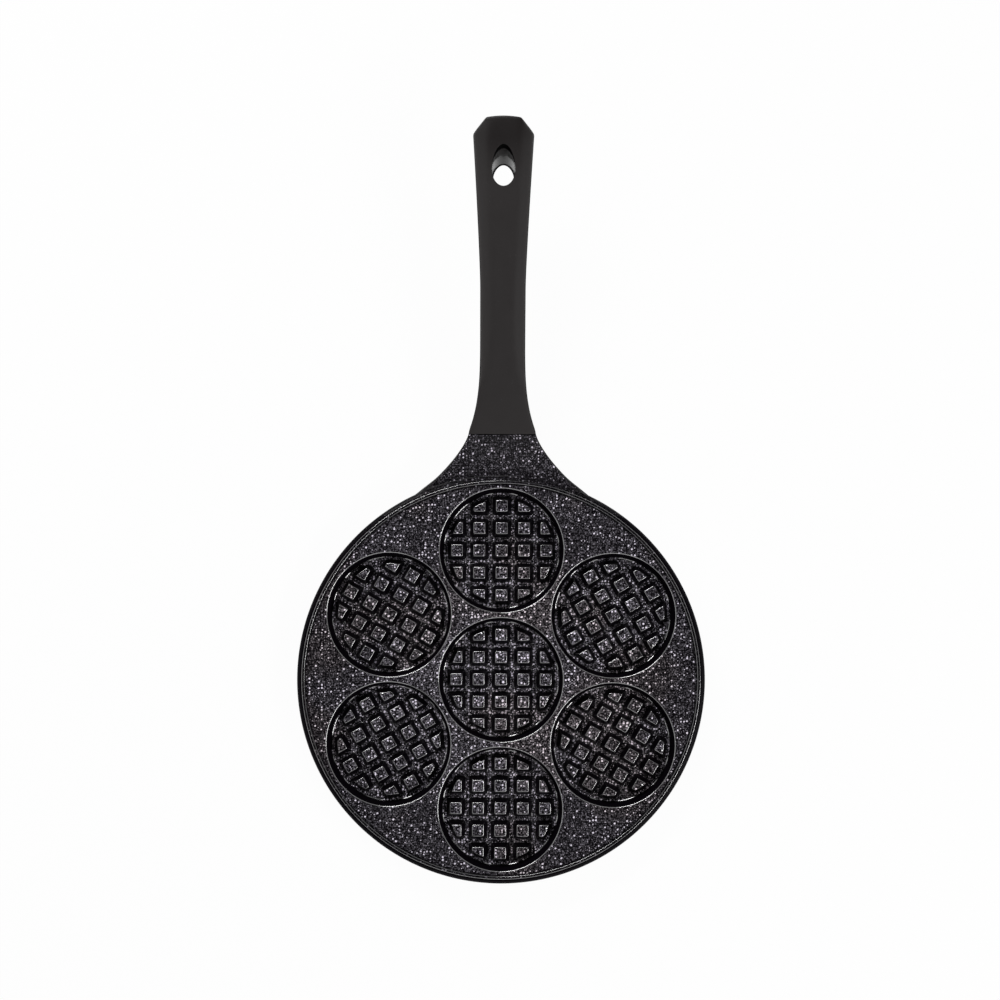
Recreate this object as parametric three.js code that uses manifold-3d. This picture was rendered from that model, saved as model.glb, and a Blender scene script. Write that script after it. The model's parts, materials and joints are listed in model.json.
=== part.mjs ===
// Waffle pan: a round die-cast plate with seven waffle wells, a steel disc pressed into its base for
// induction hobs, and a long moulded handle that slides over a tongue on the neck and is held by one screw.
// Millimetres. The origin is the centre of the flat base, +Y runs along the handle and +Z is up.

import * as THREE from 'three';
import { mergeVertices } from 'three/addons/utils/BufferGeometryUtils.js';
import Module from 'manifold-3d';

const manifold = await Module();
manifold.setup();

// Wells
const wellRadius = 40.2; // at the plate, with the broken edge
const wellDepth = 10.5;
const wellDraft = 1.5; // how far the wall leans in on its way down
const wellEdge = 0.6; // broken edge round the mouth
const wellFloorFillet = 1.6;
const wellLand = 2.6; // plate left between two wells
const outerWellCount = 6;

// Waffle pegs, which stand on the floor of each well in a square grid
const pegPitch = 14.4;
const pegTopWidth = 7.4;
const pegFootWidth = 11.9;
const pegHeight = 6;
const pegChannel = 2.7; // open ring between the pegs' feet and the wall
const pegTrimLean = 2.3; // how far the trimmed outer pegs lean in on their way up
const pegSides = 4;

// Plate, lip and belly of the casting
const floorThickness = 4.6;
const plateMargin = 3.1; // plate between the outer wells and the lip
const lipWidth = 2.2;
const lipRise = 1;
const lipEdge = 0.4;
const shoulderWidth = 2.5; // rounded shoulder outside the lip
const shoulderDrop = 3.7; // from the lip down to the widest line
const bellyWidth = 15; // how far the side draws in from the widest line to the base
const bellyPoints = 7;
const shoulderPoints = 3;

// Induction disc and the cast studs that hold it
const discMargin = 32; // flat aluminium ring left outside the disc
const discThickness = 0.9;
const studRadius = 2.7;
const studRingPitch = 24;
const studEdge = 6; // least distance from a ring of studs to the rim of the disc

// Neck of the casting
const neckReach = 28.6; // from the widest line to the joint with the handle
const neckSink = 3.5; // how deep the root lies inside the pan's side
const neckRootHalfWidth = 66.5;
const neckRootThickness = 8.5;
const neckRootHeight = 8.8; // middle of the root above the table
const neckRunIn = 18; // straight stretch that leads the neck into the joint
const neckFlarePower = 1.7;
const neckBowPower = 1.5;
const neckEdge = 1;
const neckWall = 3.6; // metal left round the cored pockets under the neck
const neckRoof = 4.4;
const neckRib = 3.2;
const coreStartShare = 0.26;
const coreEndShare = 0.8;
const neckStations = 12;
const coreStations = 5;

// Joint between neck and handle
const jointHalfWidth = 21.7;
const jointThickness = 19;
const jointHeight = 18.6; // middle of the joint above the table
const jointSlopeDegrees = 24;
const jointSideLean = 1.2; // the sides draw in towards the underside
const jointUnderEdge = 1.6;
const fitClearance = 0.3;

// Tongue on the neck and its socket in the handle
const tongueWidth = 26;
const tongueThickness = 7;
const tongueLength = 32;
const tongueTaper = 0.8;
const tongueRoot = 4; // stretch of the tongue inside the neck
const tongueLift = 1.5; // the tongue lies a little above the middle of the handle

// Handle
const gripLength = 192; // straight from the joint to the tip
const gripControl = 62; // from the joint to the point where the end tangents meet
const tipRise = 40.5; // middle of the tip above the middle of the joint
const waistHalfWidth = 14.2;
const tipHalfWidth = 19.5; // the sides spread to this at the tip, where the corners are clipped
const waistThickness = 19.5;
const tipThickness = 17;
const cornerLength = 11.5; // the clipped corners at the end
const endHalfWidth = 10.2; // what they leave of the end face
const endBow = 3.4; // how far the outer ends of the end face are set back
const gripEdge = 1; // broken edge where the handle has no facets
const facetWaist = 7.8; // half-width of the flat between the facets, at its narrowest
const facetTip = 10.3; // half-width of the flat near the hanging hole
const facetDrop = 4.6;
const underFacet = 5.2;
const flareEndShare = 0.3;
const waistEndShare = 0.475;
const flarePower = 3;
const spreadPower = 1.22;
const facetSweepPower = 3;
const facetStartShare = 0.14;
const facetWaistShare = 0.43;
const facetFullShare = 0.75;
const underFacetShare = 0.2;
const gripStations = 20;
const acrossPoints = 4; // strips across a flat of the neck or handle

// Hanging hole, wider on top, with an outer wall that slopes in
const holeSetback = 42; // from the tip to the near wall
const holeTopLength = 24.8;
const holeTopWidth = 14.2;
const holeUnderLength = 14;
const holeUnderWidth = 12.4;
const holeEggShare = 0.15;
const holePoints = 28;

// Screw, its washers and their seat under the handle
const screwSetback = 17; // from the joint to the screw
const screwRadius = 2.5;
const screwHeadRadius = 4.6;
const screwHeadHeight = 2.4;
const screwCrown = 0.8; // height of the sloping part of the head
const screwCrownRadius = 3.3; // where that slope ends
const screwPoint = 1.25; // length and radius of the blunt point
const screwTipGap = 0.6; // the screw ends this far below the top of the tongue
const recessWidth = 0.9;
const recessLength = 4.6;
const recessDepth = 1.3;
const washerRadius = 5;
const washerThickness = 0.8;
const springRadius = 4.4;
const springThickness = 1.1;
const springLift = 0.25;
const springSlotDegrees = 16;
const counterboreRadius = 5.9;

// Facets round each kind of circle
const panSegments = 80;
const wellSegments = 40;
const trimSegments = 32;
const studSegments = 8;
const screwSegments = 20;

const overrun = 1; // how far a cut runs past the face that it opens

// Sizes that follow from those above
const plateHeight = floorThickness + wellDepth;
const wellRing = 2 * wellRadius + wellLand;
const wellFloorRadius = wellRadius - wellEdge - wellDraft;
const lipInnerRadius = wellRing + wellRadius + plateMargin;
const lipOuterRadius = lipInnerRadius + lipWidth;
const lipHeight = plateHeight + lipRise;
const panRadius = lipOuterRadius + shoulderWidth;
const bellyHeight = lipHeight - lipEdge - shoulderDrop;
const baseRadius = panRadius - bellyWidth;
const discRadius = baseRadius - discMargin;
const jointSlope = THREE.MathUtils.degToRad(jointSlopeDegrees);
const jointReach = panRadius + neckReach;

// A closed surface becomes a solid once its shared corners are merged and its empty triangles dropped.
function solidOf(geometry) {
  geometry.deleteAttribute('normal');
  geometry.deleteAttribute('uv');
  const welded = mergeVertices(geometry);
  const corners = welded.index.array;
  const triangles = [];
  for (let i = 0; i < corners.length; i += 3) {
    const [a, b, c] = corners.slice(i, i + 3);
    if (a !== b && b !== c && c !== a) triangles.push(a, b, c);
  }
  return new manifold.Manifold(new manifold.Mesh({
    numProp: 3,
    vertProperties: welded.attributes.position.array,
    triVerts: Uint32Array.from(triangles),
  }));
}

function geometryOf(solid) {
  const mesh = solid.getMesh();
  const geometry = new THREE.BufferGeometry();
  geometry.setAttribute('position', new THREE.BufferAttribute(mesh.vertProperties, mesh.numProp));
  geometry.setIndex(new THREE.BufferAttribute(mesh.triVerts, 1));
  geometry.computeVertexNormals();
  return geometry;
}

// Turns a profile of [radius, height] pairs, which runs up the outside, about the vertical axis.
function revolve(profile, segments) {
  const points = profile.map(([radius, height]) => new THREE.Vector2(radius, height));
  return solidOf(new THREE.LatheGeometry(points, segments).rotateX(Math.PI / 2));
}

// Skins a row of rings that all have as many points and turn anticlockwise about the way they run.
function loft(rings) {
  const count = rings[0].length;
  const last = rings.length - 1;
  const positions = rings.flat().flatMap((point) => point.toArray());
  const middle = (ring) => ring.reduce((sum, point) => sum.add(point), new THREE.Vector3())
    .divideScalar(count).toArray();
  positions.push(...middle(rings[0]), ...middle(rings[last]));
  const startCap = rings.length * count;
  const endCap = startCap + 1;
  const faces = [];
  for (let i = 0; i < count; i += 1) {
    const next = (i + 1) % count;
    faces.push(startCap, next, i, endCap, last * count + i, last * count + next);
    for (let r = 0; r < last; r += 1) {
      const here = r * count;
      const there = here + count;
      faces.push(here + i, here + next, there + next, here + i, there + next, there + i);
    }
  }
  const geometry = new THREE.BufferGeometry();
  geometry.setAttribute('position', new THREE.Float32BufferAttribute(positions, 3));
  geometry.setIndex(faces);
  return solidOf(geometry);
}

// A frame across the neck or handle: a centre, the way along it and the way up across it.
function frameAt(centre, slope) {
  return {
    centre,
    along: new THREE.Vector3(0, Math.cos(slope), Math.sin(slope)),
    up: new THREE.Vector3(0, -Math.sin(slope), Math.cos(slope)),
  };
}

function pointIn(frame, across, along, up) {
  return frame.centre.clone()
    .add(new THREE.Vector3(across, 0, 0))
    .addScaledVector(frame.along, along)
    .addScaledVector(frame.up, up);
}

// The cross-section that neck and handle share: a flat top and bottom, joined at each side by an upper
// facet, a side and a lower facet. The bow sets its outer ends back along the frame.
function sectionRing(frame, section, bow = 0) {
  const { halfWidth, halfThickness, topFlat, topDrop, sideLean, underFlat, underRise } = section;
  const points = [];
  for (let i = 0; i <= acrossPoints; i += 1) {
    points.push([topFlat * (2 * i / acrossPoints - 1), halfThickness]);
  }
  points.push([halfWidth, halfThickness - topDrop]);
  points.push([halfWidth - sideLean, underRise - halfThickness]);
  for (let i = 0; i <= acrossPoints; i += 1) {
    points.push([underFlat * (1 - 2 * i / acrossPoints), -halfThickness]);
  }
  points.push([sideLean - halfWidth, underRise - halfThickness]);
  points.push([-halfWidth, halfThickness - topDrop]);
  return points.map(([x, up]) => pointIn(frame, x, -bow * (x / halfWidth) ** 2, up));
}

// Pan body: base, belly, shoulder, lip and plate in one turned profile
function panBody() {
  const belly = Array.from({ length: bellyPoints + 1 }, (_, i) => {
    const turn = (i / bellyPoints) * (Math.PI / 2);
    return [baseRadius + bellyWidth * Math.sin(turn), bellyHeight * (1 - Math.cos(turn))];
  });
  const shoulder = Array.from({ length: shoulderPoints }, (_, i) => {
    const turn = ((i + 1) / shoulderPoints) * (Math.PI / 2);
    return [lipOuterRadius + shoulderWidth * Math.cos(turn), bellyHeight + shoulderDrop * Math.sin(turn)];
  });
  return revolve([
    [0, 0],
    ...belly,
    ...shoulder,
    [lipOuterRadius - lipEdge, lipHeight],
    [lipInnerRadius + lipEdge, lipHeight],
    [lipInnerRadius, plateHeight],
    [0, plateHeight],
  ], panSegments);
}

// One peg: a square frustum that carries on a little below the floor, at the same slope
function peg(x, y) {
  const lean = (pegFootWidth - pegTopWidth) / (2 * pegHeight);
  const footWidth = pegFootWidth + 2 * lean * overrun;
  const height = pegHeight + overrun;
  const frustum = new THREE.CylinderGeometry(pegTopWidth / Math.SQRT2, footWidth / Math.SQRT2, height, pegSides)
    .rotateX(Math.PI / 2)
    .rotateZ(Math.PI / pegSides)
    .translate(x, y, floorThickness + pegHeight - height / 2);
  return solidOf(frustum);
}

// The pegs of one well: every grid place inside the trimming cone, cut to that cone
function pegGrid() {
  const trimFoot = wellFloorRadius - pegChannel;
  const reach = Math.floor(trimFoot / pegPitch);
  const pegs = [];
  for (let column = -reach; column <= reach; column += 1) {
    for (let row = -reach; row <= reach; row += 1) {
      const place = [column * pegPitch, row * pegPitch];
      if (Math.hypot(...place) < trimFoot) pegs.push(peg(...place));
    }
  }
  const lean = pegTrimLean / pegHeight;
  const cone = revolve([
    [0, floorThickness - 2 * overrun],
    [trimFoot + 2 * lean * overrun, floorThickness - 2 * overrun],
    [trimFoot - pegTrimLean - lean * overrun, floorThickness + pegHeight + overrun],
    [0, floorThickness + pegHeight + overrun],
  ], trimSegments);
  return manifold.Manifold.union(pegs).intersect(cone);
}

// The space of one well above its floor, without its pegs
function wellVoid() {
  const wallTop = wellRadius - wellEdge;
  const mouth = revolve([
    [0, floorThickness],
    [wellFloorRadius - wellFloorFillet, floorThickness],
    [wellFloorRadius, floorThickness + wellFloorFillet],
    [wallTop, plateHeight - wellEdge],
    [wellRadius, plateHeight],
    [wellRadius, plateHeight + lipRise + overrun],
    [0, plateHeight + lipRise + overrun],
  ], wellSegments);
  return mouth.subtract(pegGrid());
}

// One well in the middle and the others in a ring round it, each turned with its place in the ring
function allWells() {
  const centreWell = wellVoid();
  const outerWell = centreWell.translate([0, wellRing, 0]);
  const wells = [centreWell];
  for (let i = 0; i < outerWellCount; i += 1) {
    wells.push(outerWell.rotate([0, 0, (i * 360) / outerWellCount]));
  }
  return manifold.Manifold.union(wells);
}

// A flat round plate with rings of holes, used for the disc and, with clearances, for its seat
function perforatedPlate(radius, holeRadius, thickness) {
  const outline = new THREE.Shape().absarc(0, 0, radius, 0, 2 * Math.PI, false);
  const rings = Math.floor((discRadius - studEdge) / studRingPitch);
  for (let ring = 1; ring <= rings; ring += 1) {
    const count = outerWellCount * ring;
    for (let i = 0; i < count; i += 1) {
      const angle = (2 * Math.PI * i) / count;
      const [x, y] = [Math.cos(angle), Math.sin(angle)].map((part) => part * ring * studRingPitch);
      const hole = Array.from({ length: studSegments }, (_, k) => {
        const turn = (2 * Math.PI * k) / studSegments;
        return new THREE.Vector2(x + holeRadius * Math.cos(turn), y + holeRadius * Math.sin(turn));
      });
      outline.holes.push(new THREE.Path(hole));
    }
  }
  return new THREE.ExtrudeGeometry(outline, {
    depth: thickness,
    bevelEnabled: false,
    curveSegments: panSegments,
  });
}

function basePlate() {
  return solidOf(perforatedPlate(discRadius, studRadius + fitClearance, discThickness));
}

// The seat of the disc: its studs stand in the disc's holes
function basePlateSeat() {
  const seat = perforatedPlate(discRadius + fitClearance, studRadius, discThickness + overrun);
  return solidOf(seat).translate([0, 0, -overrun]);
}

// Neck. Its centreline bends up into the joint, its plan flares out to the pan, and its cross lines
// change from straight at the joint to arcs about the pan's centre at the root.
const rootRadius = panRadius - neckSink;
const rootBow = rootRadius - Math.sqrt(rootRadius ** 2 - neckRootHalfWidth ** 2);
const jointCentre = new THREE.Vector3(0, jointReach, jointHeight);
const jointFrame = frameAt(jointCentre, jointSlope);
const neckLine = new THREE.QuadraticBezierCurve3(
  new THREE.Vector3(0, rootRadius, neckRootHeight),
  pointIn(jointFrame, 0, -neckRunIn, 0),
  jointCentre,
);

function neckRing(share, inset = 0, roof = 0, sunk = 0) {
  const away = 1 - share;
  const thickness = THREE.MathUtils.lerp(neckRootThickness, jointThickness, share);
  const flare = (neckRootHalfWidth - jointHalfWidth) * away ** neckFlarePower;
  const halfWidth = jointHalfWidth + flare - inset;
  const frame = frameAt(neckLine.getPoint(share), jointSlope * share);
  const halfThickness = (thickness - roof + sunk) / 2;
  frame.centre.addScaledVector(frame.up, -(roof + sunk) / 2);
  return sectionRing(frame, {
    halfWidth,
    halfThickness,
    topFlat: halfWidth - neckEdge,
    topDrop: neckEdge,
    sideLean: jointSideLean,
    underFlat: halfWidth - jointSideLean - jointUnderEdge,
    underRise: jointUnderEdge,
  }, rootBow * away ** neckBowPower);
}

function neckLoft(startShare, endShare, steps, inset, roof, sunk) {
  const shares = Array.from({ length: steps + 1 }, (_, i) => (
    THREE.MathUtils.lerp(startShare, endShare, i / steps)));
  return loft(shares.map((share) => neckRing(share, inset, roof, sunk)));
}

// Two pockets under the neck, with a rib between them along the middle
function neckCores() {
  const pocket = neckLoft(coreStartShare, coreEndShare, coreStations, neckWall, neckRoof, overrun);
  const rib = new THREE.BoxGeometry(neckRib, 2 * neckReach, 2 * lipHeight + jointThickness)
    .translate(0, panRadius + neckReach / 2, jointHeight / 2);
  return pocket.subtract(solidOf(rib));
}

// A straight tapered bar along the joint's frame, used for the tongue and its socket
function jointBar(start, end, spare) {
  const ring = (along) => {
    const halfWidth = tongueWidth / 2 + spare - tongueTaper * (along / tongueLength);
    const halfThickness = tongueThickness / 2 + spare;
    return [[-1, 1], [1, 1], [1, -1], [-1, -1]].map(([side, level]) => (
      pointIn(jointFrame, side * halfWidth, along, tongueLift + level * halfThickness)));
  };
  return loft([ring(start), ring(end)]);
}

// An upright round bar in the joint's frame, on the screw's axis, between two heights
function screwBore(radius, low, high) {
  return revolve([[0, low], [radius, low], [radius, high], [0, high]], screwSegments)
    .transform(screwMatrix.elements);
}

const screwFrame = frameAt(pointIn(jointFrame, 0, screwSetback, 0), jointSlope);
const screwMatrix = new THREE.Matrix4()
  .makeBasis(new THREE.Vector3(1, 0, 0), screwFrame.along, screwFrame.up)
  .setPosition(screwFrame.centre);
const tongueTop = tongueLift + tongueThickness / 2;
const stackHeight = washerThickness + springThickness + springLift + screwHeadHeight + 3 * fitClearance;
const seatHeight = fitClearance + stackHeight - jointThickness / 2;

function panCasting() {
  const neck = neckLoft(0, 1, neckStations);
  const tongue = jointBar(-tongueRoot, tongueLength, 0);
  return panBody()
    .add(neck.subtract(neckCores()))
    .add(tongue)
    .subtract(allWells())
    .subtract(basePlateSeat())
    .subtract(screwBore(screwRadius + fitClearance, -jointThickness / 2, tongueTop + overrun));
}

// Handle centreline: it leaves the joint along the neck and levels off towards the tip.
const gripStart = pointIn(jointFrame, 0, fitClearance, 0);
const gripBend = pointIn(jointFrame, 0, gripControl, 0);
const gripRun = Math.sqrt(gripLength ** 2 - tipRise ** 2);
const gripTip = new THREE.Vector3(0, gripStart.y + gripRun, gripStart.z + tipRise);
const gripLine = new THREE.QuadraticBezierCurve3(gripStart, gripBend, gripTip);
const gripReach = gripLine.getLength();

function gripFrame(share) {
  const along = gripLine.getTangentAt(share);
  return frameAt(gripLine.getPointAt(share), Math.atan2(along.z, along.y));
}

// How far a value lies between two marks, held to the range 0 to 1
const between = (value, low, high) => THREE.MathUtils.clamp((value - low) / (high - low), 0, 1);

function gripHalfWidth(share) {
  const flare = (jointHalfWidth - waistHalfWidth) * (1 - between(share, 0, flareEndShare)) ** flarePower;
  const spread = (tipHalfWidth - waistHalfWidth) * between(share, waistEndShare, 1) ** spreadPower;
  return waistHalfWidth + flare + spread;
}

function gripHalfThickness(share) {
  const early = THREE.MathUtils.lerp(jointThickness, waistThickness, between(share, 0, waistEndShare));
  return THREE.MathUtils.lerp(early, tipThickness, between(share, waistEndShare, 1)) / 2;
}

// The upper facets start at the handle's edges, sweep in to the waist and ease out to the hanging hole.
function gripSection(share) {
  const halfWidth = gripHalfWidth(share);
  const sweep = 1 - (1 - between(share, facetStartShare, facetWaistShare)) ** facetSweepPower;
  const ease = between(share, facetWaistShare, facetFullShare);
  const facetFlat = THREE.MathUtils.lerp(facetWaist, facetTip, ease);
  const under = between(share, 0, underFacetShare);
  const sideLean = THREE.MathUtils.lerp(jointSideLean, 0, under);
  const underRise = THREE.MathUtils.lerp(jointUnderEdge, underFacet, under);
  return {
    halfWidth,
    halfThickness: gripHalfThickness(share),
    topFlat: THREE.MathUtils.lerp(halfWidth - gripEdge, facetFlat, sweep),
    topDrop: THREE.MathUtils.lerp(gripEdge, facetDrop, sweep),
    sideLean,
    underFlat: halfWidth - sideLean - underRise,
    underRise,
  };
}

// Hanging hole: its outline is an egg, the near wall stands square and the far wall slopes in
function hangingHole() {
  const frame = gripFrame(1 - holeSetback / gripReach);
  const half = tipThickness / 2 + overrun;
  const ring = (level) => {
    const share = (level / (tipThickness / 2) + 1) / 2;
    const length = THREE.MathUtils.lerp(holeUnderLength, holeTopLength, share);
    const width = THREE.MathUtils.lerp(holeUnderWidth, holeTopWidth, share);
    return Array.from({ length: holePoints }, (_, i) => {
      const turn = (2 * Math.PI * i) / holePoints;
      const across = (width / 2) * Math.sin(turn) * (1 + holeEggShare * Math.cos(turn));
      return pointIn(frame, across, (length / 2) * (1 - Math.cos(turn)), level);
    });
  };
  return loft([ring(-half), ring(half)]);
}

// A wedge outside one clipped corner of the end, on the side given by its sign
function cornerWedge(side) {
  const frame = gripFrame(1);
  const slant = new THREE.Vector2(endHalfWidth - tipHalfWidth, cornerLength);
  const inner = [
    new THREE.Vector2(tipHalfWidth, -cornerLength).addScaledVector(slant, -1),
    new THREE.Vector2(endHalfWidth, 0).addScaledVector(slant, 1),
  ];
  const outer = new THREE.Vector2(inner[0].x, inner[1].y);
  const corners = side > 0 ? [inner[0], outer, inner[1]] : [inner[1], outer, inner[0]];
  const ring = (level) => corners.map((corner) => pointIn(frame, side * corner.x, corner.y, level));
  return loft([ring(-waistThickness), ring(waistThickness)]);
}

function handleGrip() {
  const rings = Array.from({ length: gripStations + 1 }, (_, i) => {
    const share = i / gripStations;
    return sectionRing(gripFrame(share), gripSection(share), i === gripStations ? endBow : 0);
  });
  const socket = jointBar(-overrun, tongueLength + fitClearance, fitClearance);
  const under = -jointThickness / 2 - 2 * overrun;
  return loft(rings)
    .subtract(socket)
    .subtract(screwBore(screwRadius + fitClearance, under, tongueLift))
    .subtract(screwBore(counterboreRadius, under, seatHeight))
    .subtract(hangingHole())
    .subtract(cornerWedge(1))
    .subtract(cornerWedge(-1));
}

// The screw points up. Its seat, the underside of its shank, is at height zero.
function handleScrew() {
  const length = tongueTop - screwTipGap - seatHeight + stackHeight - screwHeadHeight;
  const screw = revolve([
    [0, -screwHeadHeight],
    [screwCrownRadius, -screwHeadHeight],
    [screwHeadRadius, screwCrown - screwHeadHeight],
    [screwHeadRadius, 0],
    [screwRadius, 0],
    [screwRadius, length - screwPoint],
    [screwPoint, length],
    [0, length],
  ], screwSegments);
  const slot = (width, depth) => solidOf(new THREE.BoxGeometry(width, depth, recessDepth + overrun)
    .translate(0, 0, (recessDepth - overrun) / 2 - screwHeadHeight));
  return screw.subtract(slot(recessLength, recessWidth)).subtract(slot(recessWidth, recessLength));
}

function flatWasher() {
  const inner = screwRadius + fitClearance;
  return revolve([
    [inner, 0],
    [washerRadius, 0],
    [washerRadius, washerThickness],
    [inner, washerThickness],
    [inner, 0],
  ], screwSegments);
}

// Split spring washer, cut through at one side and lifted there
function springWasher() {
  const slot = THREE.MathUtils.degToRad(springSlotDegrees) / 2;
  const ring = new THREE.Shape();
  ring.absarc(0, 0, springRadius, slot, 2 * Math.PI - slot, false);
  ring.absarc(0, 0, screwRadius + fitClearance, 2 * Math.PI - slot, slot, true);
  const geometry = new THREE.ExtrudeGeometry(ring, {
    depth: springThickness,
    bevelEnabled: false,
    curveSegments: screwSegments,
  });
  const points = geometry.attributes.position;
  for (let i = 0; i < points.count; i += 1) {
    const turn = (Math.atan2(points.getY(i), points.getX(i)) + 2 * Math.PI) % (2 * Math.PI);
    points.setZ(i, points.getZ(i) + (springLift * turn) / (2 * Math.PI));
  }
  return solidOf(geometry);
}

function piece(name, solid, color, roughness, metalness) {
  const material = new THREE.MeshStandardMaterial({ color, roughness, metalness });
  const mesh = new THREE.Mesh(geometryOf(solid), material);
  mesh.name = name;
  return mesh;
}

const pan = new THREE.Group();
pan.add(piece('pan_casting', panCasting(), 0x2d2c32, 0.55, 0.3));
pan.add(piece('base_plate', basePlate(), 0xa9a7a2, 0.38, 1));
pan.add(piece('handle_grip', handleGrip(), 0x322e2d, 0.6, 0));

// The screw and its washers stand in the handle's counterbore, square to the tongue.
const fastening = new THREE.Group();
fastening.applyMatrix4(screwMatrix);
const washerHeight = seatHeight - fitClearance - washerThickness;
const springHeight = washerHeight - fitClearance - springLift - springThickness;
const flat = piece('flat_washer', flatWasher(), 0xb5b4b0, 0.35, 1);
flat.position.z = washerHeight;
const spring = piece('spring_washer', springWasher(), 0x8f8d88, 0.4, 1);
spring.position.z = springHeight;
const screw = piece('handle_screw', handleScrew(), 0xb5b4b0, 0.3, 1);
screw.position.z = springHeight - fitClearance;
fastening.add(flat, spring, screw);
pan.add(fastening);

export default pan;
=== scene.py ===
# %% [markdown]
# # A waffle pan, dressed for its portrait
#
# The pan is a round aluminium casting with seven waffle wells, painted with a speckled non-stick coat.
# A steel disc sits in its base, and a long moulded handle slides over a tongue on its neck, where one
# screw holds it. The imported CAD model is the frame: it says where everything goes. This script builds a
# finer piece for each of its solids, in the same place and at the same size, and gives it a finish.

import bisect
import json
import math
from collections import Counter

import bmesh
import bpy
from bmesh.types import BMEdge, BMVert
from mathutils import Matrix, Vector

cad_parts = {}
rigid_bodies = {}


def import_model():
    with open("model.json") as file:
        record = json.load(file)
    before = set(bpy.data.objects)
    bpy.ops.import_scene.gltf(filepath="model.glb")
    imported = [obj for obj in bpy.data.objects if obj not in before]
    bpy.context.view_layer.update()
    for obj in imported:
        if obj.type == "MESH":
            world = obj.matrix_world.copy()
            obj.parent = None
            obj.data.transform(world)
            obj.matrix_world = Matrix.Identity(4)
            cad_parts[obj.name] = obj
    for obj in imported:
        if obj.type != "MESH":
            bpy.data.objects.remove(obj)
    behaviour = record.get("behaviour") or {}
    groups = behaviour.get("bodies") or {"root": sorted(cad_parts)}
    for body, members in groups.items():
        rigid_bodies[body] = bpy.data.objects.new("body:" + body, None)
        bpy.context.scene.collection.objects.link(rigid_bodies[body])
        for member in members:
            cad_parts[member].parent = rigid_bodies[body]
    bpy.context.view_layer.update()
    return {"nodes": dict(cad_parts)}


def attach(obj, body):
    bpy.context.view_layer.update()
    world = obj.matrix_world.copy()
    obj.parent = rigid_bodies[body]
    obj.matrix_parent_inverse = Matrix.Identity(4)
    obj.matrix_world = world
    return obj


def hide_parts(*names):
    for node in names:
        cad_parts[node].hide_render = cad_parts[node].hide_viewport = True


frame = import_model()
print("CAD nodes:", ", ".join(sorted(frame["nodes"])))

# %% [markdown]
# ## A small workshop
#
# Every piece is modelled in millimetres, because that is how a maker would measure it, and its last step
# brings it to metres. A few helpers are used throughout: one turns a bmesh into an object, one makes the
# effect of modifiers permanent, and one joins or cuts solids. Booleans could stay as live modifiers, but
# settled meshes are faster to draw and easier to check.

# %% Workshop helpers
MM = 0.001
# A bend of more than this is shaded as an edge.
SHARP = math.radians(38)
# In millimetres: how near a point is to a circle or height that it belongs to, and how near two points
# are to become one, while a shape is made and when it is finished.
CLOSE = 0.01
MERGE = 0.001
WELD = 0.0005


def to_mesh(name, bm):
    """Turns a bmesh into a mesh."""
    mesh = bpy.data.meshes.new(name)
    bm.to_mesh(mesh)
    bm.free()
    return mesh


def to_object(name, bm):
    """Points the faces outwards and turns the bmesh into an object."""
    bmesh.ops.recalc_face_normals(bm, faces=bm.faces)
    piece = bpy.data.objects.new(name, to_mesh(name, bm))
    bpy.context.scene.collection.objects.link(piece)
    return piece


def settle(piece):
    """Makes the effect of a piece's modifiers permanent."""
    graph = bpy.context.evaluated_depsgraph_get()
    mesh = bpy.data.meshes.new_from_object(piece.evaluated_get(graph))
    piece.modifiers.clear()
    piece.data = mesh


def subdivide(piece, levels):
    """Rounds a cage into a smooth skin."""
    skin = piece.modifiers.new("skin", "SUBSURF")
    skin.levels = skin.render_levels = levels
    settle(piece)


def combine(piece, other, operation):
    """Joins another solid to a piece, or cuts it away, and then drops the other solid."""
    step = piece.modifiers.new("combine", "BOOLEAN")
    step.object, step.operation, step.solver = other, operation, "EXACT"
    settle(piece)
    bpy.data.objects.remove(other)


def round_edges(bm, edges, width, segments):
    """Rounds the edges with a bevel of the given width."""
    bmesh.ops.bevel(bm, geom=edges, offset=width, offset_type="OFFSET", affect="EDGES",
                    segments=segments, profile=0.5, material=-1)


def turn(bm, profile, steps):
    """Turns a drawn profile of (radius, height) points about the vertical axis."""
    verts = [bm.verts.new((radius, 0, height)) for radius, height in profile]
    edges = [bm.edges.new(pair) for pair in zip(verts, verts[1:])]
    bmesh.ops.spin(bm, geom=verts + edges, cent=(0, 0, 0), axis=(0, 0, 1), angle=math.tau,
                   steps=steps, use_merge=True)
    bmesh.ops.remove_doubles(bm, verts=bm.verts, dist=MERGE)


def only(kind, items):
    """The items of one kind, out of all that an operator made."""
    return [item for item in items if isinstance(item, kind)]


def circle_edges(bm, radius, height):
    """The edges of a circle about the vertical axis."""
    def on_circle(vert):
        return abs(vert.co.xy.length - radius) < CLOSE and abs(vert.co.z - height) < CLOSE
    return [edge for edge in bm.edges if all(on_circle(vert) for vert in edge.verts)]


def open_edges(bm, height):
    """The edges at one height that have a face on one side only."""
    return [edge for edge in bm.edges
            if edge.is_boundary and all(abs(vert.co.z - height) < CLOSE for vert in edge.verts)]


def fill_flat(bm, height):
    """Fills the space between all open edges at one height, leaving their holes open."""
    bmesh.ops.triangle_fill(bm, use_beauty=True, normal=(0, 0, 1), edges=open_edges(bm, height))


def put_in(bm, mesh, matrix):
    """Adds a copy of a mesh to a bmesh, moved by a matrix, and returns its corners."""
    before = len(bm.verts)
    bm.from_mesh(mesh)
    bm.verts.ensure_lookup_table()
    added = bm.verts[before:]
    bmesh.ops.transform(bm, matrix=matrix, verts=added)
    return added
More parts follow.
